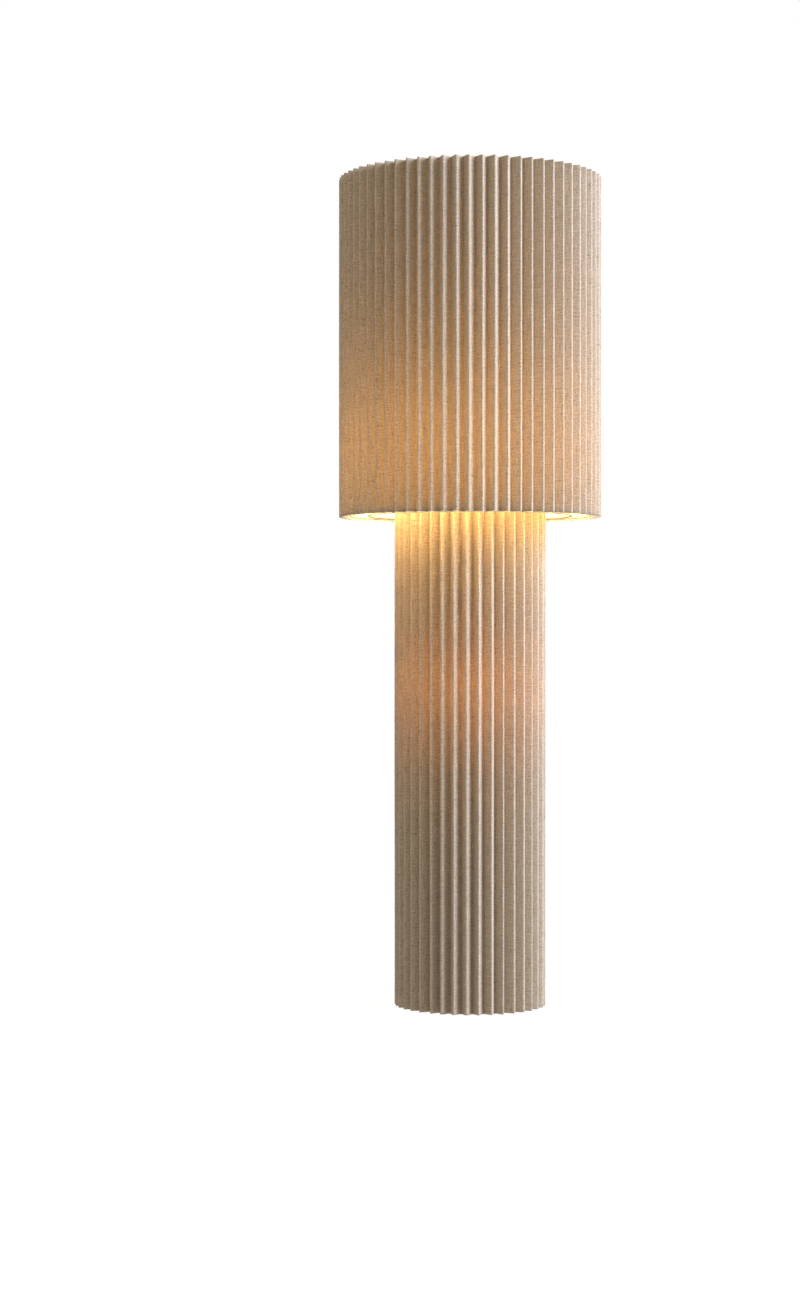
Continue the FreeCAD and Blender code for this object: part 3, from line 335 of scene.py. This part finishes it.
linen, tree, output = new_material("natural_linen")
flat_place = add_node(tree, "UVMap", uv_map="flat_cloth").outputs["UV"]
in_mm = add_node(
    tree, "VectorMath", {0: flat_place, 1: (1000, 1000, 1000)}, operation="MULTIPLY").outputs[0]
grains = []
for wide, tall in ((SLUB_LONG_MM, SLUB_THIN_MM), (SLUB_THIN_MM, SLUB_LONG_MM), (FLECK_MM, FLECK_MM)):
    stretched = add_node(tree, "VectorMath", {0: in_mm, 1: (1 / wide, 1 / tall, 1)}, operation="MULTIPLY")
    noise = add_node(tree, "TexNoise", {
        "Vector": stretched.outputs[0], "Scale": 1.0, "Detail": 2.0, "Roughness": 0.6})
    grains.append(noise.outputs["Fac"])
crossed = add_node(tree, "Mix", {0: 0.5, 2: grains[0], 3: grains[1]}).outputs[0]
yarn = add_node(tree, "Mix", {0: FLECK_SHARE, 2: crossed, 3: grains[2]}).outputs[0]

waves = []
for direction in ("X", "Y"):
    wave = add_node(tree, "TexWave", {
        "Vector": in_mm, "Scale": 2 * math.pi / THREAD_MM / WAVE_RADIANS, "Distortion": 1.5,
        "Detail": 1.0, "Detail Scale": 2.0}, bands_direction=direction)
    waves.append(wave.outputs["Fac"])
weave = add_node(tree, "Math", {0: waves[0], 1: waves[1]}, operation="MULTIPLY").outputs[0]
relief = add_node(tree, "Math", {0: weave, 1: yarn}, operation="ADD").outputs[0]
bump = add_node(tree, "Bump", {
    "Height": relief, "Strength": RELIEF_STRENGTH, "Distance": RELIEF_HEIGHT}).outputs["Normal"]
print("linen:", len(tree.nodes), "nodes for the yarn")

# %% [markdown]
# ## Linen: the colour and the glow
# The outside is matte flax. Its colour is darker in the valleys and paler on the ridges: partly dust and
# rubbing, and partly painted shade in the valleys and a painted highlight along the ridges. The back is a
# thin stiff film, off-white, that keeps the pleats in shape. A white tape binds the turned-in hem.
# Linen and film together pass little light and tint it orange, and the pressed folds pass the least. So the
# bulb inside is strong and the glow outside stays mild. The shader mixes a matte face with a translucent
# one. A solid wall with glass inside it would cost far more and look alike.

# %% Linen colour and shader
FILM = linear("CECBC6")
TAPE = linear("F4F2EE")
LIGHT_THROUGH = 0.0294

flax = add_node(tree, "ValToRGB", {"Fac": yarn}, stops=[
    (0.32, linear("877660")), (0.68, linear("EAE1D4")),
    (0.44, linear("BFAF99")), (0.56, linear("D5C7B4"))])
depth_in_pleat = add_node(tree, "Attribute", attribute_name="pleat_depth").outputs["Fac"]
# Painted shade in the valleys and a painted highlight on the ridges, with a little dust and rubbing.
dust_wear_and_painted_shade = add_node(tree, "ValToRGB", {"Fac": depth_in_pleat}, stops=[
    (0.0, linear("FFFFFF")), (1.0, linear("ECEAE6")), (0.12, linear("F2F1EF"))])
outside = add_node(tree, "Mix", {0: 1.0, 6: flax.outputs["Color"], 7: dust_wear_and_painted_shade.outputs["Color"]},
                   data_type="RGBA", blend_type="MULTIPLY").outputs[2]
behind = add_node(tree, "NewGeometry").outputs["Backfacing"]
both_sides = add_node(tree, "Mix", {0: behind, 6: outside, 7: FILM}, data_type="RGBA").outputs[2]
turned_in = add_node(tree, "Attribute", attribute_name="hem").outputs["Fac"]
cloth_colour = add_node(
    tree, "Mix", {0: turned_in, 6: both_sides, 7: TAPE}, data_type="RGBA").outputs[2]
yarn_glow = add_node(tree, "ValToRGB", {"Fac": yarn}, stops=[
    (0.34, linear("8E7558")), (0.66, linear("ECC999")), (0.50, linear("D5B488"))])
fold_glow = add_node(tree, "ValToRGB", {"Fac": depth_in_pleat}, stops=[
    (0.0, linear("909090")), (0.28, linear("FFFFFF")), (0.1, linear("A8A8A8"))])
glow_colour = add_node(
    tree, "Mix", {0: 1.0, 6: yarn_glow.outputs["Color"], 7: fold_glow.outputs["Color"]},
    data_type="RGBA", blend_type="MULTIPLY").outputs[2]

cloth_face = add_node(tree, "BsdfPrincipled", {
    "Base Color": cloth_colour, "Roughness": 0.9, "Specular IOR Level": 0.2, "Sheen Weight": 0.12,
    "Sheen Roughness": 0.5, "Normal": bump})
cloth_glow = add_node(tree, "BsdfTranslucent", {"Color": glow_colour, "Normal": bump})
lit_cloth = add_node(tree, "MixShader", {
    0: LIGHT_THROUGH, 1: cloth_face.outputs[0], 2: cloth_glow.outputs[0]})
tree.links.new(lit_cloth.outputs[0], output.inputs["Surface"])
print("linen: light through", LIGHT_THROUGH)

# %% [markdown]
# ## The shade
# A drum of 66 pleats. The number and the small turn come from counting ridges across the picture. The
# height is that of the panels that it replaces.

# %% Shade
PLEAT_DEPTH = 15.6 * MM
SHADE_RADIUS = 200 * MM
SHADE_PLEATS = 66
SHADE_TURN = -0.3
SHADE_RINGS = 40
SHADE_SEED = 11

low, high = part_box("shade_panel_front")
shade, shade_flat = pleated_cloth(
    "shade_linen", SHADE_RADIUS, PLEAT_DEPTH, SHADE_PLEATS, SHADE_TURN, low.z, high.z,
    SHADE_RINGS, SHADE_SEED)
shade.data.materials.append(linen)
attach(shade, "shade")
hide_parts("shade_panel_front", "shade_panel_rear")
print("shade: flat strip %.2f by %.2f m," % shade_flat, len(shade.data.polygons), "faces")

# %% [markdown]
# ## The column
# A narrower tube of 38 pleats that reaches down to the floor.

# %% Sleeve
SLEEVE_RADIUS = 116 * MM
SLEEVE_PLEATS = 38
SLEEVE_TURN = -2.7
SLEEVE_RINGS = 60
SLEEVE_SEED = 23

low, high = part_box("sleeve_panel_front")
sleeve, sleeve_flat = pleated_cloth(
    "sleeve_linen", SLEEVE_RADIUS, PLEAT_DEPTH, SLEEVE_PLEATS, SLEEVE_TURN, low.z, high.z,
    SLEEVE_RINGS, SLEEVE_SEED)
sleeve.data.materials.append(linen)
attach(sleeve, "sleeve")
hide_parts("sleeve_panel_front", "sleeve_panel_rear")
print("sleeve: flat strip %.2f by %.2f m," % sleeve_flat, len(sleeve.data.polygons), "faces")

# %% [markdown]
# A slot in the rear hem lets a cord out. It is cut as scissors would: three straight cuts through both
# layers, then the cloth between them is taken away.

# %% Slot in the rear hem
SLOT_HALF_WIDTH = 8 * MM
SLOT_TOP = 24 * MM
NEARBY = 20 * MM
CUTS = (
    ((-SLOT_HALF_WIDTH, 0, 0), (1, 0, 0)),
    ((SLOT_HALF_WIDTH, 0, 0), (1, 0, 0)),
    ((0, 0, SLOT_TOP), (0, 0, 1)))

edit = bmesh.new()
edit.from_mesh(sleeve.data)


def cloth_by_slot(margin):
    """Rear faces whose middle lies in the slot, or within the margin round it."""
    found = []
    for face in edit.faces:
        spot = face.calc_center_median()
        if spot.y > 0 and abs(spot.x) < SLOT_HALF_WIDTH + margin and spot.z < SLOT_TOP + margin:
            found.append(face)
    return found


for place, direction in CUTS:
    near = cloth_by_slot(NEARBY)
    edges = {edge for face in near for edge in face.edges}
    corners = {corner for face in near for corner in face.verts}
    bmesh.ops.bisect_plane(edit, geom=[*near, *edges, *corners], plane_co=place, plane_no=direction)
cut_out = cloth_by_slot(0)
bmesh.ops.delete(edit, geom=cut_out, context="FACES")
edit.to_mesh(sleeve.data)
edit.free()
print("slot:", len(cut_out), "faces cut out")

# %% [markdown]
# ## Opal bulbs
# Blown glass balls with a white coat inside, lit. The coat is never quite even, so the shine varies a
# little over the ball. The glass throws no shadow, because the light that stands for the lit filament
# sits inside it. The shine of the glass is only for the eye, so it is not sampled as a light: the fewer
# lights there are to choose from, the cleaner each of them comes out.

# %% Opal glass
COAT_MM = 14.0

opal, tree, output = new_material("lit_opal_glass")
place = add_node(tree, "TexCoord").outputs["Object"]
coat = add_node(tree, "TexNoise", {"Vector": place, "Scale": 1 / (COAT_MM * MM), "Detail": 1.0})
shine = add_node(tree, "MapRange", {
    "Value": coat.outputs["Fac"], "From Min": 0.3, "From Max": 0.7, "To Min": 0.6, "To Max": 0.9})
glass_face = add_node(tree, "BsdfPrincipled", {
    "Base Color": linear("FFF4E2"), "Roughness": 0.12, "Emission Color": linear("FFD09A"),
    "Emission Strength": shine.outputs["Result"]})
tree.links.new(glass_face.outputs[0], output.inputs["Surface"])
opal.cycles.emission_sampling = "NONE"
print("opal glass: coat uneven over", COAT_MM, "mm")

# %% [markdown]
# A bulb of this kind has an upright filament, and an upright filament sends most of its light sideways.
# The light's own nodes do that: the strength falls from the middle towards the top and the bottom. The
# upper filament hangs a little left of the axis and to the rear, so the left of the shade glows more. The
# lower bulb is weaker and warmer. With the cloth lifted off, such light would burn out the plates and the
# holders beside it, so it is linked to the cloth: only the two linen pieces take it.

# %% Light of the bulbs
SIDEWAYS = 0.7
BULB_WATTS = {"upper": 26.8, "lower": 6.4}
BULB_COLOUR = {"upper": (1.0, 0.655, 0.242), "lower": (1.0, 0.473, 0.134)}
OFF_AXIS = {"upper": (-13 * MM, 6 * MM), "lower": (0, 0)}
FILAMENT_SIZE = 28 * MM

lit_by_bulbs = bpy.data.collections.new("lit_by_bulbs")
for cloth in (shade, sleeve):
    lit_by_bulbs.objects.link(cloth)


def glowing_ball(name, watts, colour, place, sideways):
    """A round light for the cloth alone. The larger sideways is, the less goes up and down."""
    light = bpy.data.lights.new(name, "POINT")
    light.energy = watts
    light.color = colour
    light.shadow_soft_size = FILAMENT_SIZE
    light.use_nodes = True
    tree = light.node_tree
    tree.nodes.clear()
    way = add_node(tree, "TexCoord").outputs["Normal"]
    rise = add_node(tree, "SeparateXYZ", {0: way}).outputs["Z"]
    square = add_node(tree, "Math", {0: rise, 1: rise}, operation="MULTIPLY").outputs[0]
    level = add_node(tree, "Math", {0: 1.0, 1: square}, operation="SUBTRACT", use_clamp=True).outputs[0]
    spread = add_node(tree, "Math", {0: level, 1: sideways}, operation="POWER").outputs[0]
    beam = add_node(tree, "Emission", {"Strength": spread})
    add_node(tree, "OutputLight", {"Surface": beam.outputs[0]})
    ball = bpy.data.objects.new(name, light)
    ball.location = place
    ball.light_linking.receiver_collection = lit_by_bulbs
    bpy.context.scene.collection.objects.link(ball)
    print(name, "at %.3f m" % ball.location.z)


for side, watts in BULB_WATTS.items():
    glass = side + "_bulb_glass"
    nodes[glass].visible_shadow = False
    low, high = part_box(glass)
    middle = high.z - (high.x - low.x) / 2
    glowing_ball(side + "_bulb_light", watts, BULB_COLOUR[side], (*OFF_AXIS[side], middle), SIDEWAYS)

# %% [markdown]
# A little of the lower bulb's light slips past the edge of the shelf and is thrown about in the folds
# under it. A render follows few of those many bounces, so a weak light just under the shelf stands for
# them.

# %% Light past the shelf
PAST_SHELF_WATTS = 1.6
PAST_SHELF_DROP = 15 * MM
PAST_SHELF_SIDEWAYS = 1.5

low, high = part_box("lamp_shelf")
glowing_ball("past_shelf_light", PAST_SHELF_WATTS, BULB_COLOUR["lower"],
             (0, 0, low.z - PAST_SHELF_DROP), PAST_SHELF_SIDEWAYS)

# %% [markdown]
# ## Powder coats
# The plates, hoops and arms are sprayed with dry paint and baked. The paint flows to a skin like orange
# peel, with lumps a millimetre or two across, and that breaks up its highlights. The base is a rougher
# black, the rest a satin white.

# %% Powder coats
PEEL_MM = 1.6

powder_coats = {}
for name, pale, dark, roughness in (
        ("black_powder_coat", "242322", "171615", 0.55), ("white_powder_coat", "CFCBC1", "BDB9AE", 0.38)):
    coat, tree, output = new_material(name)
    place = add_node(tree, "TexCoord").outputs["Object"]
    lumps = add_node(tree, "TexNoise", {"Vector": place, "Scale": 1 / (PEEL_MM * MM), "Detail": 2.0})
    peel = lumps.outputs["Fac"]
    tone = add_node(tree, "ValToRGB", {"Fac": peel}, stops=[(0.3, linear(dark)), (0.7, linear(pale))])
    dull = add_node(tree, "MapRange", {
        "Value": peel, "To Min": roughness - 0.08, "To Max": roughness + 0.1})
    skin = add_node(tree, "Bump", {"Height": peel, "Strength": 0.25, "Distance": 0.15 * MM})
    face = add_node(tree, "BsdfPrincipled", {
        "Base Color": tone.outputs["Color"], "Roughness": dull.outputs["Result"],
        "Normal": skin.outputs["Normal"]})
    tree.links.new(face.outputs[0], output.inputs["Surface"])
    powder_coats[name] = coat
print("powder coats:", ", ".join(powder_coats))

# %% [markdown]
# ## Bare metals
# Each metal shows how it was worked. The posts are drawn steel, brushed along their length, so their
# scratches run upright. Brass shells and bulb caps are pressed and spun: fine lines run round them, which
# is a pattern that changes mostly with height. The scratches are 0.1 mm in truth and drawn at 0.4 mm to
# show.

# %% Bare metals
SCRATCH_MM = 0.4
SCRATCH_LONG_MM = 60.0

metals = {}
for name, bright, dull, roughness, wide, tall in (
        ("brushed_steel", "C9C8C4", "A9A8A4", 0.32, SCRATCH_MM, SCRATCH_LONG_MM),
        ("spun_brass", "D9AE5C", "B5863A", 0.28, SCRATCH_LONG_MM, SCRATCH_MM),
        ("pressed_aluminium", "D2D2CF", "B4B3AF", 0.30, SCRATCH_LONG_MM, SCRATCH_MM)):
    metal, tree, output = new_material(name)
    place = add_node(tree, "TexCoord").outputs["Object"]
    size = (1 / (wide * MM), 1 / (wide * MM), 1 / (tall * MM))
    stretched = add_node(tree, "VectorMath", {0: place, 1: size}, operation="MULTIPLY").outputs[0]
    lines = add_node(tree, "TexNoise", {"Vector": stretched, "Scale": 1.0, "Detail": 3.0}).outputs["Fac"]
    tone = add_node(tree, "ValToRGB", {"Fac": lines}, stops=[(0.3, linear(dull)), (0.7, linear(bright))])
    rough = add_node(tree, "MapRange", {
        "Value": lines, "To Min": roughness + 0.12, "To Max": roughness - 0.1})
    scratches = add_node(tree, "Bump", {"Height": lines, "Strength": 0.2, "Distance": 0.05 * MM})
    face = add_node(tree, "BsdfPrincipled", {
        "Base Color": tone.outputs["Color"], "Metallic": 1.0, "Roughness": rough.outputs["Result"],
        "Normal": scratches.outputs["Normal"]})
    tree.links.new(face.outputs[0], output.inputs["Surface"])
    metals[name] = metal
print("metals:", ", ".join(metals))

# %% [markdown]
# ## Mouldings
# Lampholders and clips are moulded in spark-eroded tools, which leave a fine even texture. The bulb tips
# are glassy black, the leads have a soft sheath, and the gland and the grommet are rubber with a pale
# bloom. They share one recipe: a grain of a real size, two tones, a roughness and a bump.

# %% Mouldings
mouldings = {}
for name, pale, dark, roughness, grain_mm, depth in (
        ("moulded_white_plastic", "E4E1D8", "D9D5CA", 0.48, 0.7, 0.15),
        ("pressed_black_glass", "262320", "161412", 0.22, 2.5, 0.05),
        ("lead_sheath_vinyl", "E0DBCF", "D2CCBE", 0.42, 1.8, 0.10),
        ("black_rubber", "2A2928", "171616", 0.75, 1.2, 0.30)):
    moulding, tree, output = new_material(name)
    place = add_node(tree, "TexCoord").outputs["Object"]
    pattern = add_node(tree, "TexNoise", {"Vector": place, "Scale": 1 / (grain_mm * MM), "Detail": 3.0})
    grain = pattern.outputs["Fac"]
    tone = add_node(tree, "ValToRGB", {"Fac": grain}, stops=[(0.35, linear(dark)), (0.65, linear(pale))])
    dull = add_node(tree, "MapRange", {
        "Value": grain, "To Min": roughness - 0.06, "To Max": roughness + 0.08})
    pits = add_node(tree, "Bump", {"Height": grain, "Strength": depth, "Distance": 0.1 * MM})
    face = add_node(tree, "BsdfPrincipled", {
        "Base Color": tone.outputs["Color"], "Roughness": dull.outputs["Result"],
        "Normal": pits.outputs["Normal"]})
    tree.links.new(face.outputs[0], output.inputs["Surface"])
    mouldings[name] = moulding
print("mouldings:", ", ".join(mouldings))

# %% [markdown]
# ## Glazed ceramic and felt
# The inserts that hold the contacts are fired clay under a clear glaze: white with a few grey specks and a
# sharp highlight, which a coat over a matte body gives. The pad under the base is pressed felt, a mat of
# short fibres in two greys without any gloss.

# %% Ceramic
SPECK_MM = 0.9

ceramic, tree, output = new_material("glazed_ceramic")
place = add_node(tree, "TexCoord").outputs["Object"]
specks = add_node(tree, "TexNoise", {"Vector": place, "Scale": 1 / (SPECK_MM * MM), "Detail": 2.0})
tone = add_node(tree, "ValToRGB", {"Fac": specks.outputs["Fac"]}, stops=[
    (0.24, linear("B9B4A8")), (0.34, linear("E8E4DA"))])
ceramic_face = add_node(tree, "BsdfPrincipled", {
    "Base Color": tone.outputs["Color"], "Roughness": 0.45, "Coat Weight": 0.7, "Coat Roughness": 0.08})
tree.links.new(ceramic_face.outputs[0], output.inputs["Surface"])
print("ceramic: specks", SPECK_MM, "mm")

# %% Felt
FIBRE_LONG_MM = 6.0
FIBRE_THIN_MM = 0.5

felt, tree, output = new_material("pressed_felt")
place = add_node(tree, "TexCoord").outputs["Object"]
mats = []
for wide, deep in ((FIBRE_LONG_MM, FIBRE_THIN_MM), (FIBRE_THIN_MM, FIBRE_LONG_MM)):
    size = (1 / (wide * MM), 1 / (deep * MM), 1 / (FIBRE_THIN_MM * MM))
    stretched = add_node(tree, "VectorMath", {0: place, 1: size}, operation="MULTIPLY").outputs[0]
    fibres = add_node(tree, "TexNoise", {
        "Vector": stretched, "Scale": 1.0, "Detail": 3.0, "Distortion": 0.8})
    mats.append(fibres.outputs["Fac"])
mat = add_node(tree, "Math", {0: mats[0], 1: mats[1]}, operation="MAXIMUM").outputs[0]
tone = add_node(tree, "ValToRGB", {"Fac": mat}, stops=[(0.45, linear("24211F")), (0.7, linear("4A4643"))])
nap = add_node(tree, "Bump", {"Height": mat, "Strength": 0.6, "Distance": 0.4 * MM})
felt_face = add_node(tree, "BsdfPrincipled", {
    "Base Color": tone.outputs["Color"], "Roughness": 1.0, "Specular IOR Level": 0.1, "Sheen Weight": 0.3,
    "Normal": nap.outputs["Normal"]})
tree.links.new(felt_face.outputs[0], output.inputs["Surface"])
print("felt: fibres", FIBRE_LONG_MM, "mm")

# %% [markdown]
# ## Dressing the frame
# Every node of the frame names a material slot. Its plain colour is taken off and the finish for that slot
# put on. The shapes stay as they are.

# %% Dress the nodes
finishes = {
    "linen": linen, "opal_glass": opal, "felt": felt, "ceramic": ceramic,
    "black_painted_steel": powder_coats["black_powder_coat"],
    "white_painted_steel": powder_coats["white_powder_coat"],
    "brushed_steel": metals["brushed_steel"], "brass": metals["spun_brass"],
    "bulb_cap_metal": metals["pressed_aluminium"],
    "white_plastic": mouldings["moulded_white_plastic"],
    "bulb_tip_plastic": mouldings["pressed_black_glass"],
    "lead_sheath": mouldings["lead_sheath_vinyl"], "black_rubber": mouldings["black_rubber"]}
for subpart in frame["record"]["subparts"]:
    node_materials = nodes[subpart["node"]].data.materials
    node_materials.clear()
    node_materials.append(finishes[subpart["material_slot"]])

# %% [markdown]
# ## Floor and backdrop
# The lamp stands on a white floor before a white background, both lit until they have no edge. The floor
# shines by itself for the most part, so only a trace of shadow falls on it, and it throws no light back at
# the column and is not sampled as a light. The camera sees a white world, while the lamp is lit by a
# dimmer, warmer one.

# %% Floor and world
FLOOR_SIZE = 8.0
FLOOR_SHINE = 0.95
ROOM_COLOUR = (1.0, 0.925, 0.82, 1)
ROOM_STRENGTH = 0.505

bpy.ops.object.select_all(action="DESELECT")
bpy.ops.mesh.primitive_plane_add(size=FLOOR_SIZE)
floor = bpy.context.object
floor.name = "floor"
white_floor, tree, output = new_material("white_studio_floor")
floor_face = add_node(tree, "BsdfPrincipled", {
    "Base Color": linear("4E4E4E"), "Roughness": 0.9, "Emission Color": linear("FFFFFF"),
    "Emission Strength": FLOOR_SHINE})
tree.links.new(floor_face.outputs[0], output.inputs["Surface"])
white_floor.cycles.emission_sampling = "NONE"
floor.data.materials.append(white_floor)
floor.visible_diffuse = False
floor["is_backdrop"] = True

world = bpy.data.worlds.new("studio")
world.use_nodes = True
bpy.context.scene.world = world
tree = world.node_tree
tree.nodes.clear()
room = add_node(tree, "Background", {"Color": ROOM_COLOUR, "Strength": ROOM_STRENGTH})
backdrop = add_node(tree, "Background", {"Color": (1, 1, 1, 1), "Strength": 1.0})
seen = add_node(tree, "LightPath").outputs["Is Camera Ray"]
both = add_node(tree, "MixShader", {0: seen, 1: room.outputs[0], 2: backdrop.outputs[0]})
add_node(tree, "OutputWorld", {"Surface": both.outputs[0]})
bpy.context.scene.view_settings.view_transform = "Standard"
print("floor", FLOOR_SIZE, "m")

# %% [markdown]
# ## Studio light
# One large soft light stands far round to the right. It grazes the pleats, so the ridges right of the
# middle catch it and the valleys stay dark, while the left side sees only the room and the glow from
# inside. It stands high enough for the shade to shadow the top of the column, where the light that falls
# out of the shade's mouth then shows alone.

# %% Right light
LIGHT_AZIMUTH = math.radians(74)
LIGHT_ELEVATION = math.radians(24)
LIGHT_DISTANCE = 4.0
LIGHT_AIM = 0.65
LIGHT_WIDTH = 3.2
LIGHT_HEIGHT = 2.9
LIGHT_WATTS = 345.0
LIGHT_COLOUR = (0.745, 0.81, 1.0)

right_data = bpy.data.lights.new("right_light", "AREA")
right_data.shape = "RECTANGLE"
right_data.size = LIGHT_WIDTH
right_data.size_y = LIGHT_HEIGHT
right_data.energy = LIGHT_WATTS
right_data.color = LIGHT_COLOUR
right_light = bpy.data.objects.new("right_light", right_data)
level_distance = LIGHT_DISTANCE * math.cos(LIGHT_ELEVATION)
right_light.location = (level_distance * math.sin(LIGHT_AZIMUTH),
                        -level_distance * math.cos(LIGHT_AZIMUTH),
                        LIGHT_AIM + LIGHT_DISTANCE * math.sin(LIGHT_ELEVATION))
right_light.rotation_euler = (math.pi / 2 - LIGHT_ELEVATION, 0, LIGHT_AZIMUTH)
bpy.context.scene.collection.objects.link(right_light)
print("right light at", [round(v, 2) for v in right_light.location])

# %% [markdown]
# ## Sizes
# The dressed lamp has to stay the size of the frame. The box of the dressed lamp is printed.

# %% Sizes and finish
low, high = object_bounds()
print("visual size", [round(v, 4) for v in high - low], "m")
